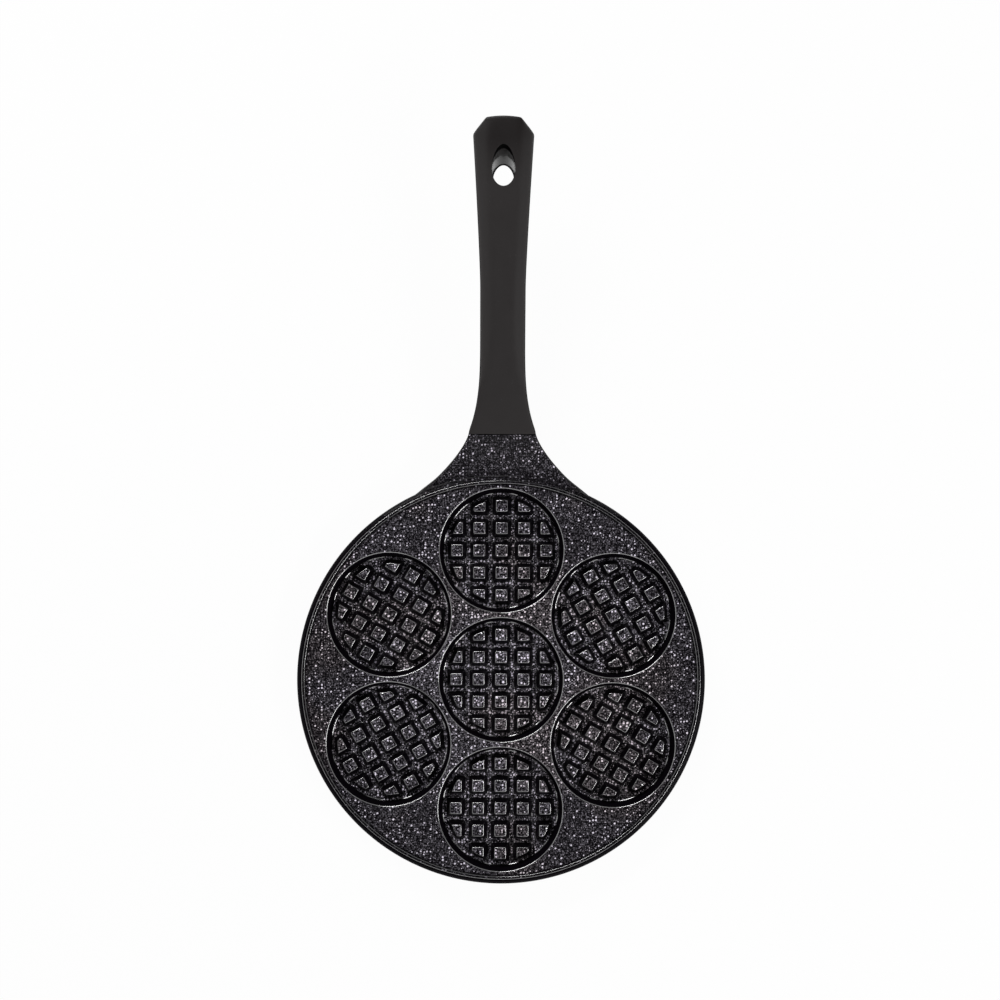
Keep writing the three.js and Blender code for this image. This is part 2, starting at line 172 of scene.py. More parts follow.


# %% [markdown]
# ## Finishing a piece
#
# The last step of each piece welds what touches, brings it to metres, smooths the shading everywhere
# except across real edges, hangs it on the root body and hides the CAD solid it stands for. A Weighted
# Normal modifier keeps broad flats looking flat beside their small rounded edges.

# %% Finishing helper
def finish(piece, node, materials):
    """Welds, scales and shades a piece, and puts it in the place of its CAD node."""
    bm = bmesh.new()
    bm.from_mesh(piece.data)
    bmesh.ops.remove_doubles(bm, verts=bm.verts, dist=WELD)
    bmesh.ops.dissolve_degenerate(bm, edges=bm.edges, dist=WELD)
    loose = [vert for vert in bm.verts if not vert.link_faces]
    bmesh.ops.delete(bm, geom=loose, context="VERTS")
    bmesh.ops.recalc_face_normals(bm, faces=bm.faces)
    bmesh.ops.scale(bm, vec=(MM, MM, MM), verts=bm.verts)
    gaps = sum(not edge.is_manifold for edge in bm.edges)
    triangles = sum(len(face.verts) - 2 for face in bm.faces)
    print(f"{piece.name}: {triangles} triangles, {gaps} open edges, "
          f"{bm.calc_volume() / MM ** 3 / 1000:.1f} cm3")
    bm.to_mesh(piece.data)
    bm.free()
    piece.data.polygons.foreach_set("use_smooth", [True] * len(piece.data.polygons))
    piece.data.set_sharp_from_angle(angle=SHARP)
    for index, material in enumerate(materials):
        if index < len(piece.data.materials):
            piece.data.materials[index] = material
        else:
            piece.data.materials.append(material)
    flats = piece.modifiers.new("flats", "WEIGHTED_NORMAL")
    flats.keep_sharp = True
    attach(piece, "root")
    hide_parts(node)


# %% [markdown]
# ## Shader maths in plain Python
#
# A finish is a tree of nodes. Wiring them by hand hides the idea, so a socket is wrapped in a small class
# whose operators add Math nodes: `a * 2 + b` builds two of them. Every other node comes from one method,
# which takes the node's type, the values or links of its sockets, and its settings. A few short methods
# on top of it give what the finishes use again and again: noise, colour mixing, eased steps and bump.

# %% Fields and node trees
class Field:
    """A number or colour that varies over a surface."""

    def __init__(self, nodes, socket):
        self.nodes, self.socket = nodes, socket

    def _math(self, operation, first, second):
        return self.nodes.node("ShaderNodeMath", {0: first, 1: second}, operation=operation)

    def __add__(self, other):
        return self._math("ADD", self, other)

    def __sub__(self, other):
        return self._math("SUBTRACT", self, other)

    def __rsub__(self, other):
        return self._math("SUBTRACT", other, self)

    def __mul__(self, other):
        return self._math("MULTIPLY", self, other)

    def __gt__(self, other):
        return self._math("GREATER_THAN", self, other)

    def at_least(self, other):
        """The larger of two values."""
        return self._math("MAXIMUM", self, other)

    __radd__, __rmul__ = __add__, __mul__


class Nodes:
    """A tree of nodes."""

    def __init__(self, tree):
        self.tree = tree

    def node(self, kind, inputs=(), output=0, **settings):
        """Adds a node: first its settings, then the values or links of its sockets."""
        made = self.tree.nodes.new(kind)
        for key, value in settings.items():
            setattr(made, key, value)
        for key, value in dict(inputs).items():
            self.plug(made.inputs[key], value)
        return Field(self, made.outputs[output])

    def plug(self, socket, value):
        """Links a field to a socket, or sets a plain value on it."""
        if isinstance(value, Field):
            self.tree.links.new(value.socket, socket)
        else:
            socket.default_value = value

    def vector(self, operation, *values, output=0):
        """Vector maths on places, directions and colours."""
        return self.node("ShaderNodeVectorMath", dict(enumerate(values)), output, operation=operation)

    def part(self, vector, index):
        """One coordinate of a vector: 0, 1 or 2 for x, y or z."""
        return self.node("ShaderNodeSeparateXYZ", {0: vector}, output=index)

    def ramp(self, value, low, high):
        """Eases from 0 to 1 as a value goes from low to high."""
        return self.node("ShaderNodeMapRange", {"Value": value, "From Min": low, "From Max": high},
                         interpolation_type="SMOOTHSTEP")


# %% Finishes
class Finish(Nodes):
    """A material: a Principled shader and the nodes that feed it."""

    SOCKETS = {"specular": "Specular IOR Level", "coat_ior": "Coat IOR"}

    def __init__(self, name, **sockets):
        self.material = bpy.data.materials.new(name)
        self.material.use_nodes = True
        super().__init__(self.material.node_tree)
        self.shader = self.tree.nodes["Principled BSDF"]
        self.feed(**sockets)
        self.place = self.node("ShaderNodeTexCoord", output="Object")
        print("finish:", name)

    def feed(self, **sockets):
        """Sets or links sockets of the shader: base_color stands for Base Color."""
        for key, value in sockets.items():
            name = self.SOCKETS.get(key, key.replace("_", " ").title())
            self.plug(self.shader.inputs[name], value)

    def upward(self):
        """How squarely the surface looks up: 1 on flats, 0 on upright walls."""
        return self.part(self.node("ShaderNodeTexCoord", output="Normal"), 2)

    def from_above(self):
        """The place on the surface as seen from above, without its height."""
        return self.vector("MULTIPLY", self.place, (1, 1, 0))

    def from_axis(self):
        """The distance from the pan's axis, in metres."""
        return self.vector("LENGTH", self.from_above(), output="Value")

    def blend(self, factor, first, second, how="MIX"):
        """Mixes two colours."""
        return self.node("ShaderNodeMix", {"Factor": factor, 6: first, 7: second}, output=2,
                         data_type="RGBA", blend_type=how)

    def noise(self, size, detail=2.0, where=None):
        """Cloudy noise whose blotches are about as large as the size, in millimetres."""
        return self.node("ShaderNodeTexNoise", {"Vector": where or self.place, "Scale": 1 / (size * MM),
                                                "Detail": detail})

    def bump(self, height, depth):
        """Raises the surface by a height field times a depth in millimetres."""
        return self.node("ShaderNodeBump", {"Height": height, "Distance": depth * MM, "Strength": 1.0})

    def matt_sides(self, upward, colour, more=0.0):
        """Shows a plain matt colour, without gloss, on steep sides and where more is given."""
        matt = self.node("ShaderNodeBsdfDiffuse", {"Color": colour})
        dull = self.ramp(upward, 0.45, 0.2).at_least(more)
        both = self.node("ShaderNodeMixShader", {0: dull, 1: Field(self, self.shader.outputs[0]), 2: matt})
        self.plug(self.tree.nodes["Material Output"].inputs["Surface"], both)


def grey(level, tint=(1.0, 1.0, 1.0)):
    """A linear grey with a tint."""
    return (*(level * part for part in tint), 1.0)


# %% [markdown]
# ## The speckled coat
#
# A stone-look non-stick coat is a black base coat that gets fine grey and white droplets sprayed from
# above. So the droplets are dense where the surface looks up, and steep walls and the pan's shoulder stay
# nearly black. There are more droplets, and lighter ones, on the wells' floors and towards the pan's
# middle. Fewer droplets at the foot of the lip and where the neck begins are painted shade in those hollows.
#
# A painted image could give the pattern, but a procedural one has no seams or stretching. So there are
# three layers of flat Voronoi cells seen from above: a fine even mist, middle droplets and bright ones. In
# each cell a lottery decides whether it holds a droplet, and how large and bright that is. Round the
# larger ones the mist leaves a dark moat. The surface normal of the object tells how squarely the spray
# hit it. The coat is glossy only where it runs round an edge, and there a lighter line, partly wear and
# partly a painted highlight, is drawn, but not in the hollow at the foot of the lip. Walls are matt.
# Colours drift a little between cool and warm.

# %% Where the spray lands
BLUE = (1.2, 0.9, 1.4)
COOL = (1.04, 0.97, 1.12)
WARM = (1.09, 0.97, 1.05)
# Marks on the pan in metres: two distances from its axis, one towards the handle, and three heights.
LIP_EDGE = 0.12785
WELLS_EDGE = 0.124
NECK_BEGINS = 0.105
PLATE_TOP = 0.01513
HOLLOW_TOP = 0.0156
EDGE_LINE_ABOVE = 0.0097

coat = Finish("speckled_coat", specular=0.1, coat_roughness=0.12, coat_ior=2.8)
coat_up = coat.upward()
from_axis = coat.from_axis()
height = coat.part(coat.place, 2)
beyond_lip = from_axis > LIP_EDGE
shoulder = beyond_lip * (1 - (coat.part(coat.place, 1) > NECK_BEGINS))
# Fewer droplets in the valley where the neck leaves the lip: a painted shade.
neck_valley_shade = beyond_lip * coat.ramp(from_axis, 0.137, 0.130)
# Fewer droplets on the plate at the inner foot of the lip: a painted shade in that corner.
lip_foot_shade = coat.ramp(from_axis, WELLS_EDGE, 0.1252) * (1 - beyond_lip)
# The spray's cover, made thinner by painted shade at the foot of the lip and at the neck's root.
spray_and_hollow_shade = coat.ramp(coat_up, 0.72, 0.93) * (1 - shoulder) * (1 - neck_valley_shade * 0.75) * (1 - lip_foot_shade * 0.8)
in_well = coat.ramp(height, 0.0148, 0.0125) * (1 - (from_axis > WELLS_EDGE))
on_floor = coat.ramp(height, 0.008, 0.0055)
near_middle = coat.ramp(from_axis, 0.095, 0.05)
hollow = (height > PLATE_TOP) * (1 - (height > HOLLOW_TOP))
rounding = coat.ramp(coat_up, 0.985, 0.93) * coat.ramp(coat_up, 0.4, 0.65) * (1 - beyond_lip)
# A lighter line on rounded edges: partly wear, partly a painted highlight.
wear_and_highlight = rounding * (height > EDGE_LINE_ABOVE) * (1 - hollow) * coat.ramp(coat.noise(1.3), 0.3, 0.6)

# %% Droplets
SOFT_EDGE = 0.1
# Each layer: size of a cell in millimetres, share of cells with a droplet, radius as a share of a cell,
# shift of the pattern in metres, darkest and lightest grey, thickness, and width of the moat.
LAYERS = (
    (1.1, 1.00, 0.37, 0.11, 0.045, 0.23, 0.15, 0.0),
    (1.3, 0.19, 0.24, 0.37, 0.10, 0.95, 0.3, 0.25),
    (2.0, 0.22, 0.24, 0.71, 0.75, 1.00, 0.6, 0.25),
)


def droplets(cell, share, radius, shift, moat):
    """A layer's droplets, the same with their moats, and a random number for each droplet."""
    shifted = coat.vector("ADD", coat.from_above(), (shift, shift * 0.7, shift * 0.02))
    wobble = coat.noise(cell * 0.45, 1.0, shifted)
    bent = coat.vector("MULTIPLY_ADD", wobble, (cell * 0.4 * MM,) * 3, shifted)
    cells = {"Vector": bent, "Scale": 1 / (cell * MM), "Randomness": 1 - share * 0.3}
    reach = coat.node("ShaderNodeTexVoronoi", cells, output="Distance", voronoi_dimensions="2D")
    lots = coat.node("ShaderNodeTexVoronoi", cells, output="Color", voronoi_dimensions="2D")
    chance, large, bright = (coat.node("ShaderNodeSeparateColor", {0: lots}, output=i) for i in range(3))
    size = large * radius + radius * 0.55 + in_well * 0.03 + near_middle * 0.04
    drawn = chance > 1 - share - on_floor * 0.2
    drops = coat.ramp(size - reach, 0.0, SOFT_EDGE) * drawn
    cleared = coat.ramp(size - reach, -moat, SOFT_EDGE - moat) * drawn
    return drops, cleared, bright


# %% Colour, gloss and bump of the coat
tone = coat.blend(coat.noise(3.5, 3.0), grey(0.0006, BLUE), grey(0.0024, BLUE))
thickness = 0.0
for cell, share, radius, shift, darkest, lightest, rise, moat in LAYERS:
    drops, cleared, bright = droplets(cell, share, radius, shift, moat)
    drops, cleared = drops * spray_and_hollow_shade, cleared * spray_and_hollow_shade
    bright = bright * bright * (in_well * 0.5 + on_floor * 0.5 + near_middle * 0.7 + 0.75)
    tone = coat.blend(cleared * 0.75, tone, grey(0.002, BLUE))
    tone = coat.blend(drops, tone, coat.blend(bright, grey(darkest), grey(lightest)))
    thickness = drops * rise + thickness
# Lightens the rounded edges: partly wear, partly a painted highlight.
tone = coat.blend(wear_and_highlight * 0.5, tone, grey(0.075))
tint = coat.blend(coat.ramp(coat.noise(55.0, 1.0), 0.5, 0.62), grey(1, COOL), grey(1, WARM))
coat.feed(base_color=coat.blend(1.0, tone, tint, "MULTIPLY"), roughness=coat.noise(6.0) * 0.08 + 0.3,
          coat_weight=rounding, normal=coat.bump(thickness * 0.5 + coat.noise(0.9, 3.0), 0.035))
coat.matt_sides(coat_up, grey(0.0035, BLUE), shoulder * 0.6)
print("speckled coat:", len(LAYERS), "layers of droplets,", len(coat.tree.nodes), "nodes")

# %% [markdown]
# ## The handle's soft coat and the metals
#
# The handle is moulded and has a matt, slightly warm soft-touch paint: very fine grain in the bump, a faint
# cloudiness in colour and sheen, a little dust, nothing that reads as a pattern. Towards its tip the paint
# is smoother, and a painted shade darkens it. The steel disc and the bare base ring are turned on a lathe,
# so their marks are circles about the pan's axis: a noise that reads only the distance from that axis
# draws them. The small parts are zinc plated, a soft bright grey with faint blotches.

# %% Soft coat
soft = Finish("soft_touch_coat", specular=0.25, coat_roughness=0.15)
grip_along = soft.part(soft.place, 1)
tip_shade_and_gloss = soft.ramp(grip_along, 0.300, 0.342)
cloud = soft.noise(14.0, 4.0)
dust = soft.ramp(soft.noise(1.1, 4.0), 0.66, 0.74)
paint = soft.blend(cloud, (0.024, 0.021, 0.021, 1), (0.029, 0.026, 0.026, 1))
# Towards the tip the colour darkens: a painted shade.
paint = soft.blend(tip_shade_and_gloss, paint, (0.0155, 0.013, 0.013, 1))
soft.feed(base_color=soft.blend(dust * 0.2, paint, grey(0.09)), roughness=0.56 + cloud * 0.1 - tip_shade_and_gloss * 0.2,
          normal=soft.bump(soft.noise(0.35), 0.02))


# %% Turned and plated metals
def turned_metal(name, tint, rough, ring):
    """A metal with circular lathe marks, a ring's width apart in millimetres."""
    metal = Finish(name, metallic=1.0)
    circles = {"W": metal.from_axis(), "Scale": 1 / (ring * MM), "Detail": 3.0}
    marks = metal.node("ShaderNodeTexNoise", circles, noise_dimensions="1D")
    stain = metal.noise(25.0, 4.0)
    light = tuple(min(1.0, part * 1.12) for part in tint)
    metal.feed(base_color=metal.blend(marks * 0.6 + stain * 0.4, (*tint, 1), (*light, 1)),
               roughness=rough + marks * 0.16 + stain * 0.06,
               normal=metal.bump(marks, 0.012))
    return metal.material


steel = turned_metal("brushed_base_steel", (0.42, 0.41, 0.39), 0.24, 0.35)
bare = turned_metal("bare_aluminium", (0.55, 0.55, 0.56), 0.3, 0.6)
zinc = Finish("zinc_plate", metallic=1.0)
haze = zinc.noise(2.2, 4.0)
zinc.feed(base_color=zinc.blend(haze, (0.5, 0.49, 0.46, 1), (0.62, 0.61, 0.59, 1)),
          roughness=0.26 + haze * 0.2, normal=zinc.bump(zinc.noise(0.25), 0.006))

# %% [markdown]
# ## One waffle peg
#
# Each well has a square grid of pegs that press the waffle's pockets. A peg is a block that narrows
# upwards. It starts as a cube whose top is scaled in. Pegs near the wall are trimmed so that the batter can
# flow round them: planes that touch a cone shave the block, which keeps the faces clean where a Boolean
# would leave slivers. Bevels round the corners and the top, and poking the top gives it a shallow dish.
# A shaved corner can leave a face of no area, which a later Boolean would drop, so such faces are
# dissolved. Two extrusions flare the foot out to the floor, as a casting's fillet does.

# %% Peg
FLOOR = 4.6
WELL_DEPTH = 10.5
PLATE = FLOOR + WELL_DEPTH
PEG_PITCH = 14.4
PEG_TOP = 7.4
PEG_FOOT = 11.9
PEG_HEIGHT = 6.0
PEG_CORNER = 0.8
PEG_RIM = 0.55
PEG_DISH = 0.25
TRIM_FOOT = 35.4
TRIM_LEAN = 2.3
TRIM_STEPS = 72
PEG_FLARE = ((0.981, 0.3), (1.02, 0.1), (1.034, 0.0))


def facing_up(face):
    """Whether a face lies flat and looks up."""
    return face.normal.z > 0.9


def make_peg(column, row):
    """A mesh of the peg at one place of a well's grid, open where it stands on the floor."""
    x, y = column * PEG_PITCH, row * PEG_PITCH
    bm = bmesh.new()
    bmesh.ops.create_cube(bm, size=1)
    bmesh.ops.translate(bm, vec=(0, 0, 0.5), verts=bm.verts)
    bmesh.ops.scale(bm, vec=(PEG_FOOT, PEG_FOOT, PEG_HEIGHT), verts=bm.verts)
    narrow = PEG_TOP / PEG_FOOT
    bmesh.ops.scale(bm, vec=(narrow, narrow, 1), verts=[v for v in bm.verts if v.co.z > 1])
    bmesh.ops.translate(bm, vec=(x, y, FLOOR), verts=bm.verts)
    for step in range(TRIM_STEPS):
        angle = math.tau * (step + 0.5) / TRIM_STEPS
        out = Vector((math.cos(angle), math.sin(angle), TRIM_LEAN / PEG_HEIGHT))
        start = Vector((TRIM_FOOT * math.cos(angle), TRIM_FOOT * math.sin(angle), FLOOR))
        if any((vert.co - start).dot(out) > 0.05 for vert in bm.verts):
            bmesh.ops.bisect_plane(bm, geom=bm.verts[:] + bm.edges[:] + bm.faces[:], plane_co=start,
                                   plane_no=out, clear_outer=True)
            bmesh.ops.holes_fill(bm, edges=bm.edges, sides=0)
    bm.normal_update()
    corners = [e for e in bm.edges if abs(e.verts[0].co.z - e.verts[1].co.z) > 1
               and e.calc_face_angle() > math.radians(25)]
    round_edges(bm, corners, PEG_CORNER, 2)
    bm.normal_update()
    bmesh.ops.delete(bm, geom=[f for f in bm.faces if f.normal.z < -0.9], context="FACES_ONLY")
    rims = [e for e in bm.edges if len(e.link_faces) == 2 and e.verts[0].co.z > FLOOR + 1
            and sum(facing_up(face) for face in e.link_faces) == 1]
    round_edges(bm, rims, PEG_RIM, 2)
    bm.normal_update()
    top = max((face for face in bm.faces if facing_up(face)), key=lambda face: face.calc_area())
    bmesh.ops.poke(bm, faces=[top], offset=-PEG_DISH)
    bmesh.ops.remove_doubles(bm, verts=bm.verts, dist=0.04)
    bmesh.ops.dissolve_degenerate(bm, edges=bm.edges, dist=0.005)
    foot = [edge for edge in bm.edges if edge.is_boundary]
    verts = list(dict.fromkeys(vert for edge in foot for vert in edge.verts))
    centre = sum((vert.co for vert in verts), Vector()) / len(verts)
    for growth, rise in PEG_FLARE:
        if rise < PEG_FLARE[0][1]:
            made = bmesh.ops.extrude_edge_only(bm, edges=foot)["geom"]
            foot = [edge for edge in only(BMEdge, made) if edge.is_boundary]
            verts = only(BMVert, made)
        bmesh.ops.scale(bm, vec=(growth, growth, 1), space=Matrix.Translation(-centre), verts=verts)
        for vert in verts:
            vert.co.z = FLOOR + rise
    return to_mesh("peg", bm)


peg = make_peg(2, 1)
print("a trimmed peg has", len(peg.polygons), "faces")

# %% [markdown]
# ## One well
#
# A well is a shallow cup with a rounded rim and a rounded foot to its wall. Its profile is drawn as four
# points and turned about the axis, and bevels round the two corners. The profile takes in a narrow ring of
# the plate and of the floor, because a bevel needs a face on either side. Then the pegs go in, and the floor
# is filled round their feet in one go, so wall, floor and pegs are one clean skin.

# %% Well
WELL_MOUTH = 39.71
WELL_FOOT = 37.81
MOUTH_ROUND = 0.9
FOOT_ROUND = 1.3
WELL_STEPS = 96


def make_well():
    """A mesh of one well with its pegs."""
    bm = bmesh.new()
    turn(bm, [(WELL_MOUTH + 1.0, PLATE), (WELL_MOUTH, PLATE), (WELL_FOOT, FLOOR),
              (WELL_FOOT - 1.75, FLOOR)], WELL_STEPS)
    round_edges(bm, circle_edges(bm, WELL_MOUTH, PLATE), MOUTH_ROUND, 4)
    round_edges(bm, circle_edges(bm, WELL_FOOT, FLOOR), FOOT_ROUND, 4)
    count = 0
    for column in range(-2, 3):
        for row in range(-2, 3):
            if math.hypot(column, row) * PEG_PITCH < TRIM_FOOT:
                put_in(bm, make_peg(column, row), Matrix())
                count += 1
    fill_flat(bm, FLOOR)
    print("a well has", count, "pegs and", len(bm.faces), "faces")
    return to_mesh("well", bm)


well = make_well()

# %% [markdown]
# ## The pan's body
#
# On the real pan the base, the bowed side, the rounded shoulder, the fine raised lip and the plate are one
# skin of metal, so they are one turned profile here. The wells are put in: one in the middle, and one that
# a spin copies round it. The plate is filled between the lip and the wells' mouths. Underneath, a
# shallow seat holds the steel disc, and the casting's studs stand in it.

# %% Body
WELL_RING = 83.0
LIP_INNER = 125.8
LIP_OUTER = 127.8
LIP_TOP = PLATE + 1.0
LIP_ROUND = 0.5
LIP_LEDGE = 0.1
SHOULDER = 15.3
PAN_RADIUS = 131.0
WIDEST = 12.0
BASE_RADIUS = 116.0
SEAT_RADIUS = 84.3
SEAT_DEPTH = 0.9
STUD_RADIUS = 2.7
STUD_PITCH = 24.0
STUD_RINGS = 3
STUD_STEPS = 24
OUTER_WELLS = 6
PAN_STEPS = 240


def quarter(count):
    """The angles of a quarter turn, without its start."""
    return [math.pi / 2 * (step + 1) / count for step in range(count)]


def stud_places():
    """Where the studs stand: rings of 6, 12 and 18."""
    for ring in range(1, STUD_RINGS + 1):
        for step in range(6 * ring):
            angle = math.tau * step / (6 * ring)
            yield (ring * STUD_PITCH * math.cos(angle), ring * STUD_PITCH * math.sin(angle), 0)


def make_body():
    """The casting without its neck."""
    bm = bmesh.new()
    belly = [(BASE_RADIUS + (PAN_RADIUS - BASE_RADIUS) * math.sin(t), WIDEST * (1 - math.cos(t)))
             for t in quarter(18)]
    bend = [(LIP_OUTER + LIP_LEDGE + (PAN_RADIUS - LIP_OUTER - LIP_LEDGE) * math.cos(t),
             WIDEST + (SHOULDER - WIDEST) * math.sin(t)) for t in quarter(8)]
    turn(bm, [(SEAT_RADIUS, SEAT_DEPTH), (SEAT_RADIUS, 0), (BASE_RADIUS, 0), *belly, *bend,
              (LIP_OUTER, SHOULDER), (LIP_OUTER, LIP_TOP), (LIP_INNER, LIP_TOP), (LIP_INNER, PLATE),
              (LIP_INNER - 0.9, PLATE)], PAN_STEPS)
    lip_edges = circle_edges(bm, LIP_OUTER, LIP_TOP) + circle_edges(bm, LIP_INNER, LIP_TOP)
    round_edges(bm, lip_edges, LIP_ROUND, 4)
    round_edges(bm, circle_edges(bm, LIP_INNER, PLATE), 0.3, 2)
    round_edges(bm, circle_edges(bm, SEAT_RADIUS, 0), 0.25, 1)
    put_in(bm, well, Matrix())
    outer = put_in(bm, well, Matrix.Translation((0, WELL_RING, 0)))
    faces = list(dict.fromkeys(face for vert in outer for face in vert.link_faces))
    edges = list(dict.fromkeys(edge for vert in outer for edge in vert.link_edges))
    copies = OUTER_WELLS - 1
    bmesh.ops.spin(bm, geom=list(outer) + edges + faces, cent=(0, 0, 0), axis=(0, 0, 1),
                   angle=math.tau * copies / OUTER_WELLS, steps=copies, use_duplicate=True)
    fill_flat(bm, PLATE)
    for place in stud_places():
        stud = bmesh.ops.create_circle(bm, cap_ends=True, radius=STUD_RADIUS, segments=STUD_STEPS)["verts"]
        bmesh.ops.translate(bm, vec=place, verts=stud)
        rim = list(dict.fromkeys(edge for vert in stud for edge in vert.link_edges if edge.is_boundary))
        raised = bmesh.ops.extrude_edge_only(bm, edges=rim)["geom"]
        bmesh.ops.translate(bm, vec=(0, 0, SEAT_DEPTH), verts=only(BMVert, raised))
        round_edges(bm, rim, 0.2, 2)
    fill_flat(bm, SEAT_DEPTH)
    return to_object("pan_casting_detail", bm)


casting = make_body()
sides = Counter(edge for face in casting.data.polygons for edge in face.edge_keys)
print("body:", len(casting.data.polygons), "faces,", sum(n != 2 for n in sides.values()), "open edges")

# %% [markdown]
# ## Cages for the neck and the handle
#
# Neck and handle are long forms whose cross-section changes as they go. They could be cut from a block, but
# a cage is closer to how a designer thinks: a few cross-sections along a curve, joined by a skin, and a
# subdivision surface that rounds it. Each corner of a cross-section is split in two points, and how far
# apart they are sets how soft that edge becomes. The first section is drawn and then extruded from
# station to station.

# %% Cross-sections and sweeps
def curve_point(start, control, end, t):
    """A point of a quadratic curve and its direction there."""
    first, second = start.lerp(control, t), control.lerp(end, t)
    return first.lerp(second, t), (second - first).normalized()


class Station:
    """A frame across the neck or handle: a centre, the way along it and the way up across it."""

    def __init__(self, centre, slope):
        self.centre = centre
        self.along = Vector((0, math.cos(slope), math.sin(slope)))
        self.up = Vector((0, -math.sin(slope), math.cos(slope)))

    def at(self, across, along, up):
        """A point, given by its distances from the centre."""
        return self.centre + Vector((across, 0, 0)) + self.along * along + self.up * up

    def matrix(self):
        """Turns a shape that was drawn at the origin into this frame."""
        axes = Matrix((Vector((1, 0, 0)), self.along, self.up)).transposed().to_4x4()
        return Matrix.Translation(self.centre) @ axes


def soften(corners, widths):
    """Splits each inner corner of a line of points in two, a width apart from it on either side."""
    points = [corners[0]]
    for before, corner, after, width in zip(corners, corners[1:], corners[2:], widths):
        for other in (before, after):
            away = other - corner
            reach = min(width, away.length * 0.45)
            points.append(corner + away * (reach / max(away.length, 1e-6)))
    return points + [corners[-1]]


def cage_ring(station, section, soft_widths, across, bow=0.0, bow_width=1.0, inset=0.0):
    """The closed ring of one cross-section, mirrored about x = 0.

    Its corners run down one side: middle of the flat top, end of that flat, the widest place below a facet,
    the foot of the side, and the flat underside. A bow pulls the outer points back along the handle, and an
    inset draws the whole ring in.
    """
    half_width, half, top_flat, top_drop, lean, under_flat, under_rise = section
    corners = ((0, half), (top_flat, half), (half_width, half - top_drop),
               (half_width - lean, under_rise - half), (under_flat, -half), (0, -half))
    side = soften([Vector(corner) for corner in corners], soft_widths)
    top = [side[0].lerp(side[1], step / across) for step in range(across)]
    under = [side[-2].lerp(side[-1], step / across) for step in range(across)]
    right = top + side[1:-2] + under + [side[-1]]
    shape = right + [Vector((-point.x, point.y)) for point in reversed(right[1:-1])]
    ring = []
    for point in shape:
        x = point.x * (1 - inset / half_width)
        ring.append(station.at(x, -bow * (x / bow_width) ** 2, point.y * (1 - inset / half)))
    return ring


def close_end(bm, ring):
    """Closes a ring with rungs between its upper and lower side, so that a bowed end stays bowed."""
    half = len(ring) // 2
    for first in (0, half):
        side = [ring[(first + step) % len(ring)] for step in range(half + 1)]
        for step in range(half // 2):
            corners = (side[step], side[step + 1], side[-2 - step], side[-1 - step])
            bm.faces.new(dict.fromkeys(corners))


def sweep(name, rings):
    """Draws the first ring, extrudes it from ring to ring and closes both ends."""
    bm = bmesh.new()
    verts = [bm.verts.new(point) for point in rings[0]]
    edges = [bm.edges.new(pair) for pair in zip(verts, verts[1:] + verts[:1])]
    close_end(bm, verts)
    for ring in rings[1:]:
        made = bmesh.ops.extrude_edge_only(bm, edges=edges)["geom"]
        fresh = set(only(BMVert, made))
        partner = {edge.other_vert(vert): vert for vert in fresh for edge in vert.link_edges
                   if edge.other_vert(vert) not in fresh}
        verts = [partner[vert] for vert in verts]
        edges = [edge for edge in only(BMEdge, made) if all(vert in fresh for vert in edge.verts)]
        for vert, point in zip(verts, ring):
            vert.co = point
    close_end(bm, verts)
    return to_object(name, bm)


def mix(low, high, share):
    """The value at a share of the way from low to high."""
    return low + (high - low) * share


def between(value, low, high):
    """How far a value lies between two marks, held to the range 0 to 1."""
    return min(1.0, max(0.0, (value - low) / (high - low)))


# %% [markdown]
# ## The neck
#
# The neck leaves the pan's side as wide as the span between two wells and draws in to the handle's width,
# bending upwards on the way. Near the pan its cross lines are arcs about the pan's centre. A sharp crease
# where it meets the pan would look glued on, so its skin is lifted along a small concave arc there, as a
# casting's fillet does.

# %% Neck
JOINT_SLOPE = math.radians(24)
JOINT = Station(Vector((0, 159.6, 18.6)), JOINT_SLOPE)
JOINT_HALF_WIDTH = 21.7
JOINT_THICKNESS = 19.0
ROOT_RADIUS = 127.5
ROOT_HALF_WIDTH = 66.5
ROOT_THICKNESS = 8.5
ROOT_BOW = ROOT_RADIUS - math.sqrt(ROOT_RADIUS ** 2 - ROOT_HALF_WIDTH ** 2)
NECK_LINE = (Vector((0, ROOT_RADIUS, 8.8)), JOINT.at(0, -18, 0), JOINT.centre)
NECK_SHARES = (0, 0.04, 0.08, 0.12, 0.16, 0.2, 0.24, 0.29, 0.35, 0.42, 0.5, 0.58, 0.66, 0.74, 0.82, 0.9, 0.96)
NECK_END = ((0.985, 0), (0.996, 0.12), (1, 0.5))
# The fillets above and beneath: radius of the arc, its end's distance from the pan's axis, and its reach.
FILLET_ABOVE = (2.6, 130.4, 2.25)
FILLET_BENEATH = (6.0, 126.4, 3.5)


def neck_ring(share, wall=0.0, roof=0.0, sunk=0.0, inset=0.0, across=5):
    """The neck's ring at a share of its way, or with a wall, roof and sinking the ring of its pocket."""
    away = 1 - share
    thickness = mix(ROOT_THICKNESS, JOINT_THICKNESS, share)
    half_width = JOINT_HALF_WIDTH + (ROOT_HALF_WIDTH - JOINT_HALF_WIDTH) * away ** 1.7 - wall
    half_width += 1.7 * math.sin(math.pi * between(away, 0.66, 1)) + 2.0 * between(away, 0.8, 1) ** 2
    centre, _ = curve_point(*NECK_LINE, share)
    station = Station(centre, JOINT.along.angle(Vector((0, 1, 0))) * share)
    station.centre = station.centre - station.up * ((roof + sunk) / 2)
    half = (thickness - roof + sunk) / 2
    edge, drop = 1.0, 1.0
    if not wall:
        edge = mix(7.0, 1.0, min(1.0, share * 1.5))
        drop = mix(4.2, 1.0, min(1.0, share * 1.5))
    section = (half_width, half, half_width - edge, drop, 1.2, half_width - 2.8, 1.6)
    bow = ROOT_BOW * away ** 1.5
    return cage_ring(station, section, (1.6, 1.6, 1.3, 1.3), across, bow, half_width, inset)


